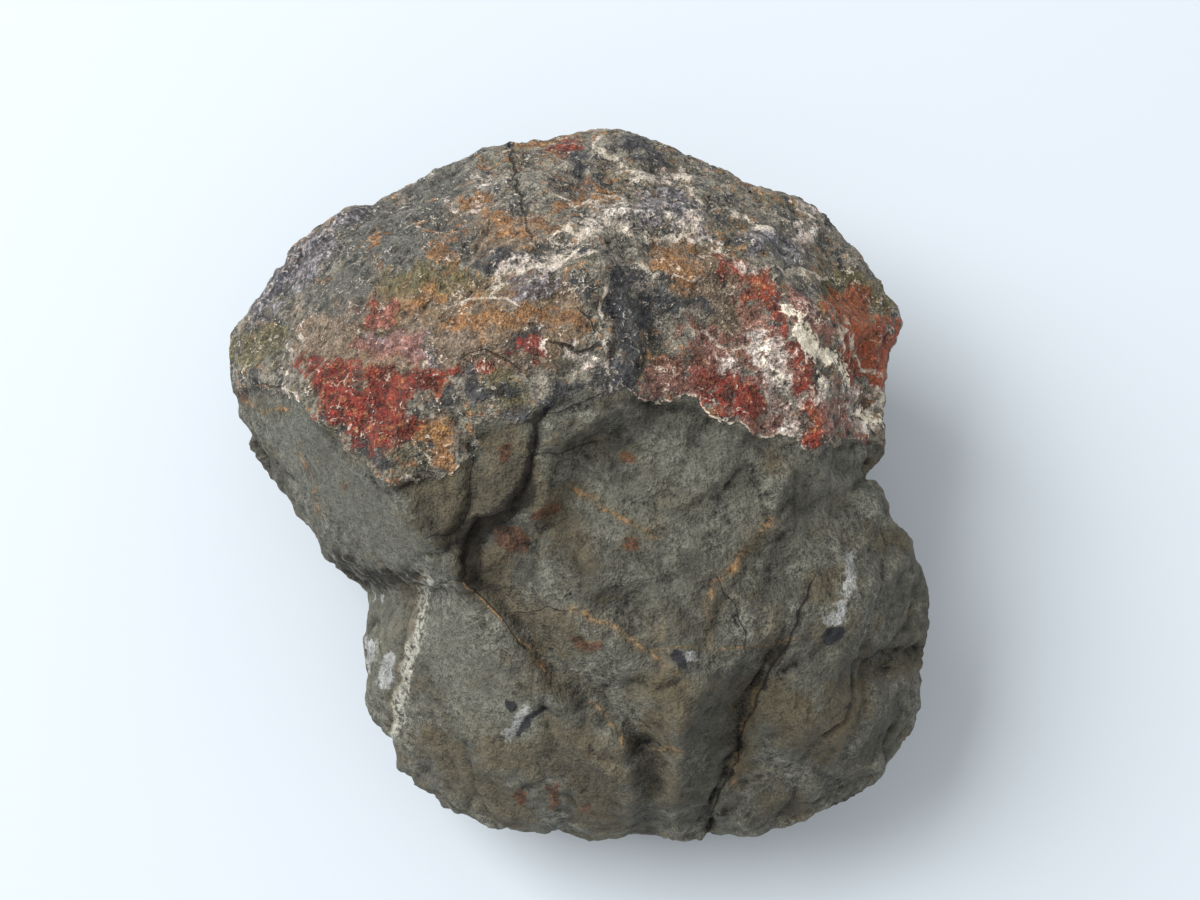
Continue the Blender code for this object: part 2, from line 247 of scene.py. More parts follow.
# Strokes where the break runs flat and where its edges are worn smooth, and the folds and steps of its
# faces: pixels with a depth and the reach to the left and to the right of the way the line runs, in
# millimetres. Below nought a fold is a ridge. The cracks are lines with a half width, like the veins.
FLAT = ((5.0, (296, 440), (345, 490), (400, 545)), (6.0, (440, 625), (485, 700)))
WORN = ((3.2, (560, 425), (553, 470), (546, 505), (520, 537), (488, 572)), (3.6, (590, 688), (612, 706)),
        (3.0, (632, 812), (668, 812), (704, 816)), (3.0, (820, 835), (860, 800)))
WORN_THROUGH = ((5.0, (242, 442), (248, 456)),)
WORN_EASING = 40
WORN_FADE = (-1.0, 2.0)
FLAT_FADE = (-1.0, 1.5)
CRUST_FADE = (-0.5, 0.6)
CALM = 0.7
RIM = (0.6, 5.0)
ROUGH_SWIRLS = ((3.0, 1.0),)
FOLDS = (
    ((812, 583, 0.2, 0.9, 2.0), (800, 613, 1.2, 1.0, 5.0), (777, 660, 2.4, 1.1, 9.0),
     (747, 720, 2.6, 1.1, 11.0), (737, 760, 2.4, 1.1, 11.0), (723, 787, 2.0, 1.0, 9.0),
     (708, 840, 1.6, 1.0, 7.0)),
    ((296, 396, -0.3, 3.0, 3.0), (345, 440, -0.8, 4.0, 4.0), (395, 492, -0.9, 4.0, 4.0),
     (440, 548, -0.8, 3.5, 3.5), (468, 586, -0.6, 2.5, 2.5), (505, 628, -0.4, 2.0, 3.0),
     (546, 688, -0.3, 2.0, 3.0)),
    ((302, 402, -0.3, 0.9, 0.9), (345, 440, -0.5, 1.1, 1.1), (395, 492, -0.6, 1.2, 1.2),
     (440, 548, -0.6, 1.2, 1.2), (464, 580, -0.4, 1.0, 1.0)),
    ((476, 578, 0.8, 5.0, 1.6), (512, 618, 1.5, 6.5, 1.8), (556, 682, 1.0, 6.0, 2.0),
     (592, 700, 0.3, 4.0, 2.5)),
    ((606, 706, 0.2, 4.0, 2.5), (626, 720, 0.9, 7.0, 3.0), (645, 750, 1.6, 8.0, 3.2),
     (650, 805, 1.6, 7.0, 3.6), (645, 840, 1.2, 6.0, 3.6)),
    ((598, 545, 0.3, 2.5, 2.5), (622, 553, 0.8, 3.0, 3.0), (652, 562, 0.3, 2.5, 2.5)),
    ((618, 585, 0.3, 2.5, 3.0), (632, 612, 0.9, 3.0, 4.0), (642, 645, 0.3, 2.5, 3.0)),
    ((768, 524, -0.2, 2.2, 1.2), (740, 560, -0.3, 2.4, 1.2), (713, 583, -0.3, 2.4, 1.2),
     (708, 640, -0.2, 1.6, 1.2)),
    ((748, 645, -0.4, 2.0, 3.0), (705, 705, -0.9, 2.4, 4.5), (682, 722, -0.9, 2.4, 4.5),
     (676, 770, -0.9, 2.4, 4.5), (675, 832, -0.6, 2.0, 4.0)),
    ((808, 485, 0.4, 3.0, 4.0), (778, 545, 1.0, 3.0, 5.5), (765, 600, 1.1, 3.0, 6.0),
     (757, 640, 0.6, 2.5, 5.0)),
    ((842, 660, 0.2, 0.8, 2.5), (877, 660, 1.2, 0.9, 4.5), (896, 651, 1.4, 0.9, 5.0),
     (918, 647, 1.2, 0.9, 5.0)),
    ((541, 413, 0.8, 2.0, 0.8), (532, 445, 1.6, 3.5, 0.9), (530, 475, 2.0, 4.5, 0.9),
     (509, 513, 2.2, 5.0, 0.9), (478, 524, 2.2, 4.0, 0.9), (467, 545, 1.8, 2.4, 1.2),
     (466, 582, 0.8, 1.6, 1.2)),
    ((330, 566, 0.3, 1.5, 2.0), (362, 584, 1.2, 1.8, 4.0), (400, 578, 1.1, 1.8, 4.0),
     (438, 585, 0.5, 1.2, 2.5)),
    ((473, 436, 0.3, 1.4, 1.4), (472, 490, 0.8, 1.6, 1.6), (463, 524, 0.8, 1.5, 1.5),
     (436, 540, 0.5, 1.4, 1.4)),
    ((508, 434, 0.3, 1.3, 1.6), (503, 462, 0.9, 1.3, 2.0)),
    ((541, 410, 0.3, 0.6, 1.8), (562, 402, 0.8, 0.6, 2.5), (600, 405, 0.8, 0.6, 2.5),
     (640, 404, 0.5, 0.6, 2.0), (692, 409, 0.4, 0.6, 2.0)),
    ((555, 454, 0.4, 1.2, 1.4), (592, 444, 0.3, 1.2, 1.4)),
    ((545, 414, 0.3, 1.0, 1.0), (575, 410, 0.5, 1.0, 1.2), (602, 398, 0.3, 1.0, 1.0)),
    ((740, 466, -0.2, 3.0, 2.0), (693, 498, -0.6, 4.0, 2.0), (652, 522, -0.3, 3.0, 2.0)),
    ((720, 580, 0.2, 1.2, 1.5), (732, 603, 0.6, 1.3, 1.8), (746, 642, 0.4, 1.2, 1.8)),
    ((505, 742, 0.2, 1.0, 1.5), (524, 724, 0.9, 1.0, 2.4), (546, 708, 0.4, 1.0, 1.8)),
    ((604, 268, 0.4, 3.0, 0.7), (612, 330, 1.1, 4.5, 0.7), (606, 396, 1.0, 4.0, 0.7)),
    ((551, 340, 0.3, 0.8, 0.8), (566, 346, 0.9, 0.8, 1.2), (580, 352, 0.9, 0.8, 1.2),
     (594, 344, 0.3, 0.7, 0.7)),
    ((510, 148, 0.5, 1.0, 1.0), (517, 180, 0.7, 1.2, 1.2), (530, 235, 0.3, 0.9, 0.9)),
    ((716, 258, -0.3, 2.0, 2.0), (758, 285, -0.6, 2.4, 2.4), (800, 360, -0.7, 2.4, 2.4),
     (823, 444, -0.5, 2.2, 2.2)),
    ((640, 545, 0.2, 1.5, 2.0), (668, 575, 0.5, 2.0, 3.0), (690, 625, 0.3, 1.5, 2.5)),
    ((655, 690, 0.3, 3.0, 2.0), (700, 668, 0.6, 3.0, 2.0), (745, 648, 0.3, 2.0, 1.5)),
)

CRACKS = (
    (0.17, (810, 587), (800, 613), (790, 637), (777, 660), (763, 687), (747, 720), (740, 737), (737, 760),
     (723, 787), (716, 808), (708, 838)),
    (0.08, (722, 583), (732, 603), (743, 623), (745, 640)),
    (0.09, (472, 460), (472, 493), (463, 527), (437, 537)),
    (0.10, (466, 560), (466, 580), (480, 596), (500, 617), (522, 645)),
    (0.20, (258, 383), (270, 387), (284, 384)),
    (0.20, (510, 150), (516, 177), (522, 207), (529, 232)),
    (0.09, (545, 415), (575, 405), (600, 395)),
    (0.08, (530, 455), (555, 452), (590, 444)),
    (0.09, (440, 587), (450, 582), (465, 583)),
    (0.08, (528, 611), (545, 607), (557, 609)),
    (0.22, (553, 342), (566, 345), (580, 351), (592, 345)),
    (0.16, (583, 310), (592, 322), (594, 332)),
    (0.10, (470, 356), (485, 350), (500, 356), (516, 366)),
)


def scoops(spot, width, depth):
    """Scoops about width wide that meet in crooked edges: nought on the edges and down to -depth between."""
    warped = spot / width + SCOOP_BEND * noise.noise_vector(spot / width * FINER)
    return -depth * (1 - SCOOP_SPREAD * abs(noise.noise(warped))) ** 2


def stone_height(spot):
    drawn = turned_to_grain @ spot
    tooth = noise.fractal(spot / TOOTH_WIDTH, 0.7, FINER, 3)
    wide = scoops(drawn, SCOOP_WIDTH, SCOOP_DEPTH)
    return wide + scoops(drawn, CHIP_WIDTH, CHIP_DEPTH) + TOOTH_DEPTH * tooth


def crust_height(spot):
    """The height of the crust at spot, in millimetres: low knobs with pits here and there."""
    knob = noise.voronoi(spot / LUMP_WIDTH + LUMP_BEND * noise.noise_vector(spot / LUMP_BEND_WIDTH))[0][0]
    mound = MOUND_HEIGHT * noise.fractal(spot / MOUND_WIDTH, 0.8, FINER, 3)
    pit = PIT_DEPTH * max(0.0, PIT_REACH - noise.voronoi(spot / PIT_WIDTH)[0][0]) / PIT_REACH
    tooth = CRUST_TOOTH_DEPTH * noise.fractal(spot / CRUST_TOOTH_WIDTH, 0.6, FINER, 3)
    return mound + LUMP_HEIGHT * (0.5 - knob) + tooth - pit


def fold_height(places, folds):
    """How far the folds raise or lower each place, in millimetres. A fold has a sharp bottom and rims."""
    height = np.zeros(len(places))
    for fold in folds:
        nearest = np.full(len(places), 1e9)
        lift = np.zeros(len(places))
        for (x0, y0, *sizes0), (x1, y1, *sizes1) in zip(fold, fold[1:]):
            gap, aside = offsets_to(places, (x0, y0), (x1, y1))
            run = np.array((x1 - x0, y1 - y0), float)
            along = np.clip((places - (x0, y0)) @ run / (run @ run), 0, 1)
            depth, left, right = (a + along * (b - a) for a, b in zip(sizes0, sizes1))
            reach = np.where(aside < 0, left, right)
            closer = gap < nearest
            nearest[closer] = gap[closer]
            lift[closer] = (-depth * np.clip(1 - gap / PIXELS_PER_MM / reach, 0, 1))[closer]
        height += lift
    return height


def strayed(places, points, swirls):
    """The places, each moved in swirls: how wide a swirl is and how far it moves them, in millimetres."""
    for width, reach in swirls:
        moves = np.array([noise.noise_vector(Vector(p * 1000 / width)) for p in points])
        places = places + moves[:, 0:2] * reach * PIXELS_PER_MM
    return places


noise.seed_set(SWIRL_SEED)
turned_to_grain = Matrix.Diagonal((1, 1 / GRAIN_STRETCH, 1)) @ Matrix.Rotation(GRAIN_TURN, 3, "Z")
points = read_points()
places = picture_place(points)
worn = in_view(points, read_normals()) * smooth_rise(patch_depth(places, WORN), *WORN_FADE)
worn = np.maximum(worn, smooth_rise(patch_depth(places, WORN_THROUGH), *WORN_FADE))
write_points(points + worn[:, None] * (eased(points, WORN_EASING) - points))
points = read_points()
normals = eased(read_normals(), 2)
places = picture_place(points)
seen = in_view(points, normals)
crust = crust_depth(points, seen, places)
spots = [Vector(p * 1000) for p in points]
stone_heights = np.array([stone_height(spot) for spot in spots])
crust_heights = np.array([crust_height(spot) for spot in spots])
crusted = smooth_rise(crust, *CRUST_FADE)
rough_places = strayed(places, points, ROUGH_SWIRLS)
folds = fold_height(rough_places, FOLDS)
flat = seen * smooth_rise(patch_depth(places, FLAT), *FLAT_FADE)
stone_heights = stone_heights * (1 - CALM * np.maximum(crusted, flat)) + SWELL
stone_heights *= 1 + (1 - seen) * HIDDEN_EXTRA
height = stone_heights + crusted * (crust_heights + CRUST_STEP) + seen * folds
rim = smooth_rise(points[:, 2] * 1000, *RIM)
points += normals * (height * rim / 1000)[:, None]
points[bed, 2] = 0.0
points[:, 2] = np.maximum(points[:, 2], 0.0)
write_points(points)


# What the surface shows at each point is kept as named values on the skin, in millimetres inside each
# stain or in half widths aside of each vein, and the finish draws their ragged edges from them. Some of
# the stains are painted shade, some painted light, and the edge value is for painted light on ridges
# and painted shade in hollows.
RED = ((4.2, (322, 374), (345, 392), (365, 408)), (3.8, (342, 408), (365, 427), (388, 428)),
       (2.8, (385, 384), (412, 384), (430, 380)), (2.8, (396, 402), (404, 424)),
       (0.8, (433, 372), (452, 365), (473, 359), (497, 355), (520, 350), (546, 354)),
       (1.8, (370, 314), (396, 308)), (3.2, (705, 374), (735, 386), (748, 402)),
       (2.2, (700, 396), (722, 407)), (1.4, (722, 264), (757, 280), (775, 300), (793, 347)),
       (2.0, (788, 350), (804, 385), (818, 435)), (5.0, (866, 348), (888, 352)),
       (4.2, (878, 368), (893, 376)), (1.4, (552, 133), (567, 141)))
ORANGE = ((2.0, (433, 258)), (1.0, (452, 267)), (1.2, (366, 240), (378, 238)),
          (2.2, (462, 311), (500, 317), (538, 318)), (1.8, (424, 424), (440, 440), (452, 452)),
          (1.4, (430, 395), (442, 380)), (1.3, (309, 362), (318, 374)), (2.4, (828, 300), (850, 304)),
          (2.4, (845, 325), (862, 334)), (3.0, (658, 262), (676, 264)), (1.4, (561, 197), (581, 199)),
          (1.6, (593, 187), (613, 200)), (1.5, (529, 143), (553, 141)),
          (1.2, (427, 220), (440, 232), (456, 240)), (1.6, (470, 200), (500, 215), (521, 231)),
          (1.4, (540, 215), (556, 226)), (0.9, (692, 413), (713, 419)),
          (0.5, (393, 302), (420, 299), (447, 295)), (1.6, (560, 320), (590, 326)))
OLIVE = ((2.2, (385, 282), (425, 283), (466, 283)), (3.4, (835, 282), (865, 291), (886, 304)),
         (3.0, (245, 350), (268, 345)), (2.8, (498, 384), (516, 402)), (1.8, (412, 418), (432, 434)))
PALE = ((1.5, (757, 345), (768, 368), (772, 396)), (1.0, (775, 410), (786, 430)),
        (0.8, (800, 240), (811, 240)), (0.8, (850, 421), (874, 414)), (0.8, (845, 390), (866, 397)),
        (1.0, (589, 354)), (0.6, (545, 345)), (0.8, (545, 385)), (0.7, (500, 274), (520, 266), (536, 257)),
        (0.4, (470, 175), (496, 186)), (0.3, (455, 207), (482, 205)), (0.6, (795, 204), (813, 219)),
        (0.6, (643, 181), (670, 178), (688, 177)), (0.5, (575, 233), (600, 226), (631, 226)),
        (0.6, (690, 229), (716, 246)), (0.4, (742, 270), (760, 268)), (0.7, (800, 398), (830, 392)),
        (1.1, (778, 350), (781, 390)), (0.5, (577, 355), (600, 358)), (0.5, (715, 355), (735, 372)),
        (0.7, (600, 215), (640, 210)), (0.8, (540, 262), (575, 250)))
CRYSTAL = ((1.5, (800, 332), (810, 346)), (1.5, (814, 350), (832, 358)), (0.8, (784, 311), (800, 317)),
           (0.7, (838, 364), (847, 372), (846, 384)), (0.9, (860, 412), (876, 423)),
           (0.6, (817, 374), (824, 388)), (0.6, (765, 348), (768, 362)), (0.6, (774, 372), (780, 384)),
           (0.5, (596, 358)))
# The strokes from 617 to 646 pixels across make the steep wall below the crust's step blue-black.
INK = ((1.6, (489, 262), (502, 262)), (1.6, (519, 262), (541, 256)),
       (2.6, (617, 284), (625, 310), (632, 336)), (3.2, (625, 350), (620, 376)),
       (1.8, (635, 308), (646, 330)), (1.4, (608, 390), (612, 399)), (1.6, (515, 345), (541, 345)),
       (2.2, (546, 397), (577, 401)), (1.4, (440, 385), (451, 396)), (1.3, (514, 421), (532, 421)),
       (1.6, (662, 300), (702, 302)), (0.8, (866, 330), (881, 331)), (1.8, (580, 158), (588, 191)),
       (2.6, (624, 145), (652, 160)), (1.7, (360, 446), (380, 455), (395, 472)),
       (1.3, (474, 385), (490, 398), (512, 392)), (1.0, (462, 365), (474, 372)))
LILAC = ((3.0, (320, 240), (300, 260), (280, 284), (261, 300)), (1.6, (340, 220), (352, 214)),
         (2.0, (375, 338), (405, 345), (427, 351)), (1.8, (518, 286), (547, 279)),
         (2.6, (650, 206), (680, 216), (702, 236)), (1.6, (636, 215), (645, 222)),
         (2.2, (755, 241), (786, 251)))
WARM = ((9.0, (345, 330), (400, 330), (470, 330), (540, 320)), (5.0, (460, 225), (510, 235)),
        (5.0, (690, 270), (730, 300), (750, 340)), (3.0, (430, 430), (450, 445)))
# Orange-red crust, painted brighter at the right end, as painted light on a face turned from the lamp.
FIRE_AND_PAINTED_LIGHT = ((2.6, (838, 300), (858, 308)), (3.0, (852, 322), (878, 330)), (4.2, (868, 345), (886, 358)),
        (3.6, (880, 372)), (1.0, (752, 272), (768, 292)), (1.0, (806, 395), (814, 425)))
SLATE = ((6.0, (375, 231), (410, 235), (442, 240)), (3.6, (350, 290), (325, 301)),
         (4.4, (446, 181), (424, 191)), (1.8, (760, 251), (802, 261)))
PINK = ((2.0, (380, 318), (396, 308)), (2.4, (372, 352), (410, 344)), (2.2, (698, 336), (716, 351)),
        (2.4, (750, 350), (768, 386), (780, 427)), (2.2, (745, 300), (765, 330), (786, 366)),
        (2.2, (700, 362), (735, 348)), (2.0, (822, 402), (850, 430)), (1.2, (838, 384), (850, 405)),
        (1.8, (800, 310), (826, 326)), (1.8, (733, 424), (762, 431)), (2.4, (648, 393), (690, 385)),
        (1.6, (655, 374), (678, 372)))
RUST = ((2.5, (509, 536), (517, 541)), (0.7, (537, 518), (547, 512), (559, 508)),
        (0.8, (624, 457), (631, 457)), (0.5, (655, 455)), (0.9, (628, 543), (636, 544)), (0.7, (540, 663)),
        (0.7, (521, 794), (522, 802)), (0.9, (553, 788), (553, 804)), (0.7, (585, 807)),
        (0.8, (575, 643), (597, 646)), (0.7, (505, 446), (503, 458)), (0.5, (345, 487)),
        (0.9, (243, 391), (249, 400)), (0.4, (306, 466), (308, 472)), (0.4, (336, 452)))
# Brown stain, and painted shade where it darkens the low front slopes that face away from the light.
TAN_AND_PAINTED_SHADE = ((2.4, (818, 586), (846, 579)), (2.0, (884, 541), (897, 539)), (3.0, (484, 562), (498, 598)),
       (1.4, (862, 664), (903, 664)), (2.0, (768, 806), (798, 805)), (3.2, (498, 748), (532, 757)),
       (2.0, (636, 690), (662, 684)), (1.6, (474, 545), (470, 582)),
       (5.5, (440, 495), (480, 495), (510, 465)),
       (2.0, (335, 415), (372, 446), (412, 486), (452, 535), (472, 566)), (2.0, (420, 520), (450, 520)),
       (2.5, (490, 440), (515, 440)), (1.6, (530, 650), (548, 672), (560, 690)),
       (5.0, (560, 745), (602, 770), (600, 810)), (3.0, (430, 740), (470, 780), (520, 815)),
       (4.0, (770, 700), (820, 740), (850, 700)), (2.6, (750, 690), (742, 730), (738, 770)),
       (3.0, (540, 490), (560, 520), (585, 560)), (2.4, (500, 600), (540, 620), (580, 640)),
       (3.0, (680, 700), (650, 740), (665, 790)))
# Paler stone, and painted light where it lightens the left flank and the facet below, which face the light.
DUST_AND_PAINTED_LIGHT = ((4.5, (296, 440), (345, 490), (395, 540)), (6.0, (445, 640), (480, 700), (520, 745)),
        (3.0, (385, 610), (385, 700)), (4.0, (660, 460), (740, 465)),
        (4.5, (565, 490), (620, 520), (660, 590)), (5.5, (835, 480), (810, 520)),
        (2.5, (750, 500), (730, 540)), (3.0, (690, 520), (640, 500)), (2.5, (640, 690), (620, 700)))
# Painted shade, partly darker stone, on the crack's shadow side, undersides, hollows and slopes facing away.
SHADE = ((2.6, (738, 655), (766, 652)), (3.2, (722, 680), (750, 676)), (3.6, (706, 708), (733, 706)),
         (3.4, (698, 740), (720, 738)), (3.2, (695, 770), (710, 768)), (2.8, (692, 806), (698, 808)),
         (1.3, (772, 812), (812, 797), (848, 773), (880, 742), (900, 712)),
         (2.2, (640, 742), (647, 785), (642, 835)), (1.7, (508, 632), (545, 684), (580, 702)),
         (2.4, (470, 500), (500, 490), (518, 465)), (1.6, (420, 520), (450, 545)),
         (2.0, (470, 590), (500, 610)), (2.4, (650, 575), (690, 625)), (2.6, (560, 560), (590, 590)),
         (2.8, (604, 553), (640, 562)), (2.8, (632, 598), (640, 642)), (3.6, (560, 762), (602, 792)),
         (1.1, (856, 652), (892, 651), (912, 648)), (1.0, (440, 522), (466, 556)),
         (2.2, (800, 492), (780, 540), (770, 590)), (1.6, (604, 400), (650, 398), (700, 412)),
         (2.2, (250, 440), (268, 475), (288, 520)), (1.3, (620, 720), (640, 745)),
         (2.0, (690, 560), (705, 600)))
# Painted shade in dark brown: the crevice under the lip, the hollow under the flank, the crack's dark side.
PAINTED_CREVICE_SHADE = ((0.9, (537, 416), (531, 445), (529, 475), (524, 492)),
           (2.1, (521, 497), (506, 512), (484, 526), (464, 540)),
           (1.5, (476, 535), (471, 556), (469, 576)), (1.5, (336, 560), (360, 574), (386, 580)),
           (1.1, (384, 577), (404, 575), (426, 580)), (0.5, (803, 610), (782, 652), (758, 700)))
SMUT = ((1.4, (829, 637), (840, 631)), (0.5, (847, 707)), (0.9, (679, 655), (684, 664)),
        (0.75, (508, 701), (514, 708)), (0.3, (523, 700), (534, 703)),
        (0.45, (543, 708), (533, 715), (526, 725), (521, 734)))
CHALK = ((0.8, (689, 658)), (0.55, (527, 707), (524, 716), (517, 729), (508, 738)),
         (1.0, (849, 560), (848, 592)), (1.1, (842, 608), (832, 620)), (0.8, (370, 645), (368, 668)),
         (1.0, (387, 660), (383, 684)), (0.5, (380, 597)))

RUST_VEINS = (
    (0.5, (767, 525), (753, 543), (740, 560), (730, 573), (713, 583), (710, 600), (712, 620), (708, 638)),
    (0.26, (573, 488), (593, 500), (623, 517), (648, 534)),
    (0.34, (555, 612), (573, 610), (593, 617), (617, 630), (640, 647), (672, 668)),
    (0.30, (755, 690), (745, 720), (738, 745), (734, 775)),
    (0.14, (470, 588), (500, 620), (530, 650), (546, 672)),
    (0.26, (596, 706), (612, 722), (622, 742)),
    (0.14, (645, 650), (690, 648), (733, 650), (787, 641)),
    (0.20, (660, 750), (673, 750)),
    (0.22, (250, 404), (264, 412), (282, 409)),
    (0.12, (299, 450), (306, 466), (314, 482), (318, 508)),
)
CREAM_VEINS = (
    (0.25, (298, 330), (286, 366), (287, 392), (300, 404)),
    (0.6, (600, 140), (623, 167), (643, 180), (687, 177)),
    (0.35, (687, 183), (697, 203), (701, 218)),
    (0.6, (667, 210), (693, 230), (723, 250)),
    (0.45, (613, 230), (650, 233), (680, 240), (707, 250)),
    (0.55, (560, 236), (590, 228), (613, 230)),
    (0.6, (493, 283), (520, 267), (560, 253), (592, 250)),
    (0.3, (460, 302), (487, 297), (513, 300)),
    (0.3, (405, 478), (420, 474), (440, 476), (458, 467), (470, 455)),
    (0.5, (845, 333), (858, 360), (876, 383), (884, 410)),
    (0.3, (627, 390), (640, 397), (663, 405), (690, 402), (707, 417), (737, 427), (757, 438), (793, 443)),
    (0.3, (720, 217), (747, 217), (770, 233)),
    (0.3, (647, 267), (657, 277), (687, 280)),
    (0.35, (773, 267), (823, 276)),
    (0.25, (606, 290), (608, 330), (605, 385)),
    (0.3, (560, 197), (590, 205), (620, 200)),
    (0.3, (700, 330), (730, 345), (760, 340)),
)
LOBE_VEIN = (
    (1.3, (426, 580), (423, 607), (417, 640), (407, 667), (400, 700), (396, 730)),
)
LOOSE_SWIRLS = ((7.0, 3.2), (2.5, 2.4))
CLOSE_SWIRLS = ((6.0, 2.2), (2.2, 1.4))
EDGE_EASING = 6

points = read_points()
normals = eased(read_normals(), 1)
places = picture_place(points)
seen = in_view(points, normals)
loose = strayed(places, points, LOOSE_SWIRLS)
close = strayed(places, points, CLOSE_SWIRLS)
rough_places = strayed(places, points, ROUGH_SWIRLS)


def keep_value(name, values):
    stone.data.attributes.new(name, "FLOAT", "POINT").data.foreach_set("value", values.astype(np.float32))


def keep_patch(name, strokes, places):
    keep_value(name, FAR_OUT + seen * (patch_depth(places, strokes) - FAR_OUT))


def keep_lines(name, strokes, places):
    offset, near = line_offset(places, strokes)
    keep_value(name + "_aside", offset)
    keep_value(name + "_near", near * seen)


ease = eased(points, EDGE_EASING)
keep_value("seen", seen)
keep_value("crust", crust_depth(points, seen, close))
# Painted light and shade: the finish lightens the skin where it stands out and darkens it in hollows.
keep_value("edge", np.sum((points - ease) * normals, axis=1) * 1000)
for name, strokes in (("warm", WARM), ("fire_and_painted_light", FIRE_AND_PAINTED_LIGHT), ("slate", SLATE), ("lilac", LILAC), ("olive", OLIVE),
                      ("ink", INK), ("orange", ORANGE), ("red", RED), ("pink", PINK), ("pale", PALE)):
    keep_patch(name, strokes, loose)
for name, strokes in (("dust_and_painted_light", DUST_AND_PAINTED_LIGHT), ("tan_and_painted_shade", TAN_AND_PAINTED_SHADE), ("shade", SHADE), ("painted_crevice_shade", PAINTED_CREVICE_SHADE), ("rust", RUST),
                      ("smut", SMUT), ("chalk", CHALK), ("crystal", CRYSTAL)):
    keep_patch(name, strokes, rough_places)
for name, strokes in (("crack", CRACKS), ("rust_vein", RUST_VEINS), ("lobe_vein", LOBE_VEIN)):
    keep_lines(name, strokes, rough_places)
keep_lines("cream_vein", CREAM_VEINS, close)


# The finish: dull grey dolomite with a fine tooth, stained with rust, and over its top the crust of
# iron-red, ochre, cream and blue-black minerals in flecks of about a millimetre. Painted shade darkens
# its hollows, creases and the faces turned from the light, and painted light brightens its ridges and
# the faces towards the light.
class Wire:
    """An output of the finish's nodes. Arithmetic on it adds the Math nodes that work it out."""

    def __init__(self, finish, socket):
        self.finish = finish
        self.socket = socket

    def math(self, operation, *others):
        return self.finish.node("ShaderNodeMath", {"operation": operation}, dict(enumerate((self, *others))))

    def __add__(self, other):
        return self.math("ADD", other)

    def __sub__(self, other):
        return self.math("SUBTRACT", other)

    def __rsub__(self, other):
        return self.finish.node("ShaderNodeMath", {"operation": "SUBTRACT"}, {0: other, 1: self})

    def __mul__(self, other):
        return self.math("MULTIPLY", other)

    def __abs__(self):
        return self.math("ABSOLUTE")

    def rise(self, low, high):
        """0 below low and 1 above high, with a soft step between them."""
        return self.finish.node("ShaderNodeMapRange", {"interpolation_type": "SMOOTHSTEP"},
                                {"Value": self, "From Min": low, "From Max": high})

    __radd__ = __add__
    __rmul__ = __mul__


class Finish:
    """A material that is made node by node, on the piece's own coordinates in millimetres."""

    def __init__(self, name):
        self.material = bpy.data.materials.new(name)
        self.material.use_nodes = True
        self.tree = self.material.node_tree
        self.tree.nodes.clear()
        place = self.node("ShaderNodeTexCoord", {}, {}, "Object")
        self.spot = self.node("ShaderNodeVectorMath", {"operation": "SCALE"},
                              {"Vector": place, "Scale": 1000})

    def node(self, kind, settings, sockets, output=0):
        """A new node's output. Its settings are set first, then the values or links of its sockets."""
        made = self.tree.nodes.new(kind)
        for setting, value in settings.items():
            setattr(made, setting, value)
        for name, value in sockets.items():
            socket = made.inputs[name]
            if isinstance(value, Wire):
                self.tree.links.new(value.socket, socket)
            else:
                socket.default_value = value
        return Wire(self, made.outputs[output]) if made.outputs else None

    def kept(self, name):
        """The value that the skin keeps under a name."""
        return self.node("ShaderNodeAttribute", {"attribute_name": name}, {}, "Fac")

    def moved(self, spot, shift):
        """The spot moved by shift millimetres along each axis, so that one noise differs from the next."""
        return self.node("ShaderNodeVectorMath", {"operation": "ADD"}, {0: spot, 1: (shift, shift, shift)})

    def bent(self, scale, detail, bend):
        """The spot moved about by a coloured noise, by up to bend millimetres each way."""
        cloud = self.node("ShaderNodeTexNoise", {}, {"Vector": self.spot, "Scale": scale, "Detail": detail},
                          "Color")
        return self.node("ShaderNodeVectorMath", {"operation": "MULTIPLY_ADD"},
                         {0: cloud, 1: (bend, bend, bend), 2: self.spot})

    def mottle(self, width, detail=3.0, roughness=0.55, shift=0.0):
        """Cloudy noise from about -1 to 1, with clouds about width millimetres across."""
        cloud = self.node("ShaderNodeTexNoise", {},
                          {"Vector": self.moved(self.spot, shift), "Scale": 1 / width, "Detail": detail,
                           "Roughness": roughness})
        return (cloud - 0.5) * MOTTLE_REACH

    def flecks(self, width, bend, shift=0.0):
        """Flecks about width millimetres across with crooked edges: a different shade of grey to each."""
        place = self.moved(self.bent(1.6 / width, 1.0, bend * width), shift)
        cells = self.node("ShaderNodeTexVoronoi", {}, {"Vector": place, "Scale": 1 / width}, "Color")
        return self.node("ShaderNodeSeparateColor", {}, {"Color": cells}, "Red")

    def bowls(self, width):
        """Shallow bowls about width millimetres across that meet in crooked ridges: 0 at a bowl's bottom."""
        place = self.bent(1.3 / width, 2.0, 1.8 * width)
        return self.node("ShaderNodeTexVoronoi", {}, {"Vector": place, "Scale": 1 / width})

    def blend(self, under, over, share):
        """The colour under with the colour over laid on it, as much as share says."""
        mix = self.tree.nodes.new("ShaderNodeMix")
        mix.data_type = "RGBA"
        sockets = {socket.identifier: socket for socket in mix.inputs}
        for name, value in (("Factor_Float", share), ("A_Color", under), ("B_Color", over)):
            if isinstance(value, Wire):
                self.tree.links.new(value.socket, sockets[name])
            else:
                sockets[name].default_value = value
        return Wire(self, next(s for s in mix.outputs if s.identifier == "Result_Color"))

    def shaded(self, colour, light):
        """The colour made lighter or darker by a factor."""
        return self.node("ShaderNodeVectorMath", {"operation": "SCALE"}, {"Vector": colour, "Scale": light})


def paint(red, green, blue):
    """A colour from its parts on the usual scale of 0 to 255, in the linear light that a shader takes."""
    parts = [part / 255 for part in (red, green, blue)]
    return (*(part / 12.92 if part < 0.04045 else ((part + 0.055) / 1.055) ** 2.4 for part in parts), 1.0)


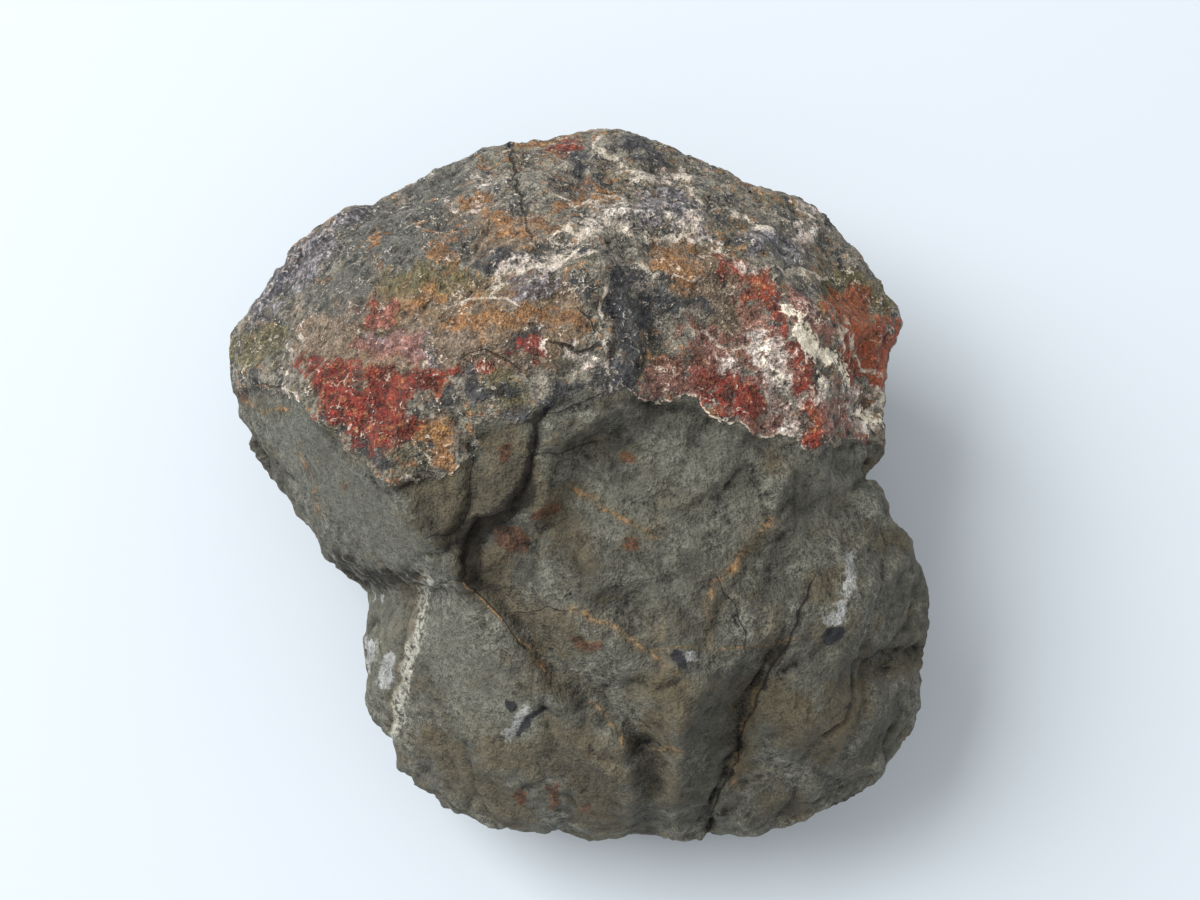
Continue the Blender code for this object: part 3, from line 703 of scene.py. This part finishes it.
MOTTLE_REACH = 7.0
BUMP_HEIGHT = 0.001
STONE_GREY = paint(92, 91, 81)
STONE_LIGHT = paint(127, 126, 114)
STONE_DARK = paint(60, 58, 50)
STONE_OCHRE = paint(104, 92, 68)
CRYSTAL_CREAM = paint(240, 230, 208)
CRYSTAL_GREY = paint(206, 196, 176)
HIDDEN_RED = paint(128, 62, 46)
HIDDEN_OCHRE = paint(150, 116, 72)
CRUST_TAN = paint(137, 131, 118)
CRUST_DARK = paint(66, 65, 60)
CRUST_OLIVE = paint(104, 98, 74)
FLECK_CREAM = paint(218, 206, 188)
FLECK_ORANGE = paint(158, 114, 74)
FLECK_INK = paint(50, 53, 58)
RUST_ORANGE = paint(164, 126, 84)
LOBE_CREAM = paint(182, 180, 166)
LOBE_BROWN = paint(104, 90, 64)
CRACK_BROWN = paint(40, 32, 26)

# Each stain: its name, two tones, how ragged its edge is in millimetres, and how much of it shows.
# Some of them, marked below, are partly painted shade and painted light.
CRUST_STAINS = (
    ("warm", paint(146, 116, 88), paint(120, 100, 80), 1.6, 0.5),
    ("slate", paint(98, 98, 92), paint(88, 87, 81), 0.9, 0.88),
    ("lilac", paint(70, 68, 76), paint(146, 141, 145), 1.1, 0.8),
    ("olive", paint(118, 108, 66), paint(88, 84, 62), 1.2, 0.65),
    ("ink", paint(44, 47, 53), paint(70, 72, 76), 1.0, 0.85),
    ("orange", paint(164, 116, 68), paint(130, 92, 58), 1.0, 0.75),
    ("red", paint(140, 48, 34), paint(90, 45, 34), 1.2, 0.92),
    # Orange-red crust painted brighter, partly painted light.
    ("fire_and_painted_light", paint(170, 84, 52), paint(128, 76, 48), 1.3, 0.75),
    ("pink", paint(164, 112, 98), paint(122, 80, 70), 1.4, 0.7),
    ("pale", paint(226, 218, 208), paint(186, 168, 156), 1.0, 0.9),
)
STONE_STAINS = (
    # Paler stone, partly painted light on the faces towards the light.
    ("dust_and_painted_light", paint(120, 120, 107), paint(104, 103, 92), 1.6, 0.45),
    # Brown stain, partly painted shade on the low front slopes.
    ("tan_and_painted_shade", paint(98, 87, 63), paint(78, 70, 51), 1.6, 0.65),
    # Painted shade, partly darker stone.
    ("shade", paint(60, 57, 48), paint(50, 47, 39), 0.8, 0.4),
    # Painted shade in the crevices and under the overhang.
    ("painted_crevice_shade", paint(44, 36, 27), paint(32, 27, 22), 0.5, 0.85),
    ("rust", paint(78, 54, 40), paint(100, 68, 46), 0.5, 0.85),
    ("chalk", paint(196, 198, 198), paint(156, 156, 152), 0.6, 0.75),
    ("smut", paint(40, 44, 50), paint(30, 32, 36), 0.25, 0.95),
)

finish = Finish("dolomite")
clouds = finish.mottle(14.0)
patches = finish.mottle(5.0, shift=31.0)
ragged = finish.mottle(3.0, roughness=0.7, shift=55.0)
spots = finish.mottle(1.6, detail=2.0, roughness=0.7, shift=19.0)
frayed = finish.mottle(0.9, detail=2.0, roughness=0.6, shift=83.0)
grit = finish.mottle(0.38, detail=2.0, roughness=0.7, shift=7.0)
edge = finish.kept("edge")
wander = ragged * 0.8 + frayed * 0.5 + spots * 0.4
grains = finish.flecks(0.9, 1.4)
bowls = finish.bowls(2.6)

light_share = (clouds * 0.25 + patches * 0.25 + spots * 0.3 + frayed * 0.3 + grit * 0.35).rise(-0.2, 1.1)
stone_tone = finish.blend(STONE_GREY, STONE_LIGHT, light_share)
dark_share = (patches * -0.3 + frayed * 0.4 + grit * 0.4 - clouds * 0.2).rise(0.1, 1.2)
stone_tone = finish.blend(stone_tone, STONE_DARK, dark_share)
ochre = (finish.mottle(9.0, shift=71.0) * 0.7 + ragged * 0.4 + spots * 0.2).rise(0.1, 1.2) * 0.6
stone_tone = finish.blend(stone_tone, STONE_OCHRE, ochre)
for name, tone, second, rag, share in STONE_STAINS:
    mask = (finish.kept(name) + wander * rag).rise(-rag, rag * 0.6) * share
    stain = finish.blend(tone, second, (spots + frayed * 0.5).rise(-0.6, 0.6))
    stone_tone = finish.blend(stone_tone, stain, mask)

crust_dark = (patches * 0.6 + spots * 0.7 + frayed * 0.4).rise(-0.4, 0.8)
crust_tone = finish.blend(CRUST_TAN, CRUST_DARK, crust_dark)
crust_tone = finish.blend(crust_tone, CRUST_OLIVE, (clouds + ragged * 0.6).rise(0.0, 0.8) * 0.6)
blots = finish.mottle(2.4, roughness=0.75, shift=101.0)
dabs = finish.mottle(1.7, roughness=0.7, shift=151.0)
orange_share = (dabs + clouds * 0.4 + blots * 0.3).rise(0.45, 0.9) * 0.75
crust_tone = finish.blend(crust_tone, FLECK_ORANGE, orange_share)
ink_share = (blots * -1.0 + patches * 0.3).rise(0.55, 0.9) * 0.85
crust_tone = finish.blend(crust_tone, FLECK_INK, ink_share)
hidden = 1 - finish.kept("seen")
guessed = finish.mottle(11.0, detail=4.0, roughness=0.65, shift=171.0)
crust_tone = finish.blend(crust_tone, HIDDEN_RED, guessed.rise(0.6, 1.0) * hidden * 0.8)
crust_tone = finish.blend(crust_tone, HIDDEN_OCHRE, (guessed * -1.0).rise(0.6, 1.0) * hidden * 0.7)
for name, tone, second, rag, share in CRUST_STAINS:
    mask = (finish.kept(name) + wander * rag + dabs * 0.5).rise(-0.9, 0.9) * share
    stain = finish.blend(tone, second, (spots * 0.7 + blots * 0.6 + frayed * 0.3).rise(-0.4, 0.7))
    crust_tone = finish.blend(crust_tone, stain, mask)
red_core = (finish.kept("red") + ragged).rise(0.0, 1.5)
crust_tone = finish.blend(crust_tone, FLECK_ORANGE, red_core * (dabs - blots * 0.4).rise(0.5, 0.9) * 0.7)
small = finish.flecks(0.8, 1.6, shift=40.0)
crust_tone = finish.shaded(crust_tone, small * 0.5 + grit * 0.16 + frayed * 0.14 + 0.75)
net = abs(finish.mottle(5.0, roughness=0.6, shift=131.0))
net = (1 - net.rise(0.03, 0.12)) * (patches + frayed + spots * 0.5).rise(0.2, 1.0)
crust_tone = finish.blend(crust_tone, FLECK_CREAM, net * 0.6)
specks = (grit * 0.5 + frayed * 0.5 + patches * 0.35).rise(0.95, 1.2)
crust_tone = finish.blend(crust_tone, FLECK_CREAM, specks * (0.8 - red_core * 0.55))
cream = 1 - (abs(finish.kept("cream_vein_aside")) + frayed * 0.8 + ragged * 0.6).rise(0.5, 1.9)
cream = cream * finish.kept("cream_vein_near") * (ragged + spots * 0.7).rise(-0.8, 0.3)
crust_tone = finish.blend(crust_tone, FLECK_CREAM, cream * 0.9)

crystal = (finish.kept("crystal") + frayed * 0.5 + spots * 0.3).rise(-0.2, 0.3)
crystal_tone = finish.blend(CRYSTAL_CREAM, CRYSTAL_GREY, spots.rise(-0.2, 0.9))
crust_tone = finish.blend(crust_tone, crystal_tone, crystal * 0.9)

crusted = (finish.kept("crust") + wander * 0.4).rise(-0.15, 0.15)
tone = finish.blend(stone_tone, crust_tone, crusted)
bare = finish.kept("rust_vein_near") * (1 - crusted)
rust_halo = 1 - (abs(finish.kept("rust_vein_aside")) + ragged).rise(0.5, 5.0)
tone = finish.blend(tone, STONE_OCHRE, rust_halo * bare * 0.5)
rust_aside = abs(finish.kept("rust_vein_aside")) + frayed * 1.0 + ragged * 0.7 + grit * 0.5
rust_vein = (1 - rust_aside.rise(0.1, 2.2)) * bare * (spots + patches + frayed).rise(-0.5, 0.8)
tone = finish.blend(tone, RUST_ORANGE, rust_vein * 0.8)
lobe_aside = finish.kept("lobe_vein_aside") + frayed * 0.25 + ragged * 0.25
lobe_near = finish.kept("lobe_vein_near")
lobe_brown = lobe_aside.rise(0.2, 0.9) * (1 - lobe_aside.rise(1.2, 2.0)) * lobe_near
tone = finish.blend(tone, LOBE_BROWN, lobe_brown * 0.7)
lobe_vein = (1 - abs(lobe_aside).rise(0.3, 1.3)) * lobe_near * (spots + frayed).rise(-1.6, 0.2)
tone = finish.blend(tone, LOBE_CREAM, lobe_vein * 0.85)
crack = 1 - (abs(finish.kept("crack_aside")) + frayed * 0.35 + ragged * 0.2).rise(0.2, 1.8)
crack = crack * finish.kept("crack_near")
tone = finish.blend(tone, CRACK_BROWN, crack * 0.7)
# Grain, and painted shade where the bump's noises and bowls lie low.
grain_and_painted_hollow_shade = grit * 0.27 + frayed * 0.17 + spots * 0.11 + grains * 0.26 + bowls * 0.42
# The crystals are lifted out of that darkening, partly as painted light.
grain_and_painted_hollow_shade = grain_and_painted_hollow_shade + crystal * crusted * 0.35
# Painted light on ridges, capped, and painted shade in hollows, from the edge value.
tone = finish.shaded(tone, edge.math("MINIMUM", 0.1) * 1.6 + grain_and_painted_hollow_shade + 0.69)

height = grit * 0.06 + frayed * 0.1 + spots * 0.12 + ragged * 0.1 + bowls * 0.4
height = height + crusted * (0.25 + frayed * 0.07) + cream * 0.12 - crack * 0.5
bump = finish.node("ShaderNodeBump", {}, {"Strength": 1.0, "Distance": BUMP_HEIGHT, "Height": height})
shader = finish.node("ShaderNodeBsdfPrincipled", {},
                     {"Base Color": tone, "Roughness": 0.82 - crusted * 0.12, "Normal": bump})
finish.node("ShaderNodeOutputMaterial", {}, {"Surface": shader})

stone.data.materials.clear()
stone.data.materials.append(finish.material)
stone.data.shade_smooth()
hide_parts("dolomite_rock")
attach(stone, "root")


# The stage: a plain pale floor, one soft studio light above and to the left, and an even glow all round.
FLOOR_SIDE = 3.0
LIGHT_SIDE = 1.3
LIGHT_PLACE = (-1.2, 0.46, 1.45)
LIGHT_POWER = 35
GLOW = 0.56

sheet = bmesh.new()
bmesh.ops.create_grid(sheet, x_segments=1, y_segments=1, size=FLOOR_SIDE / 2)
floor = bpy.data.objects.new("floor", bpy.data.meshes.new("floor"))
sheet.to_mesh(floor.data)
sheet.free()
bpy.context.scene.collection.objects.link(floor)
floor_finish = Finish("floor")
floor_shader = floor_finish.node("ShaderNodeBsdfPrincipled", {},
                                 {"Base Color": paint(223, 232, 240), "Roughness": 0.9})
floor_finish.node("ShaderNodeOutputMaterial", {}, {"Surface": floor_shader})
floor.data.materials.append(floor_finish.material)

light = bpy.data.objects.new("light", bpy.data.lights.new("light", "AREA"))
bpy.context.scene.collection.objects.link(light)
light.data.size = LIGHT_SIDE
light.data.energy = LIGHT_POWER
light.location = LIGHT_PLACE
light.rotation_mode = "QUATERNION"
light.rotation_quaternion = (-Vector(LIGHT_PLACE)).to_track_quat("-Z", "Y")
glow = bpy.data.worlds.new("glow")
glow.use_nodes = True
glow.node_tree.nodes["Background"].inputs["Color"].default_value = (1.0, 1.0, 1.0, 1.0)
glow.node_tree.nodes["Background"].inputs["Strength"].default_value = GLOW
bpy.context.scene.world = glow
bpy.context.scene.view_settings.view_transform = "Standard"
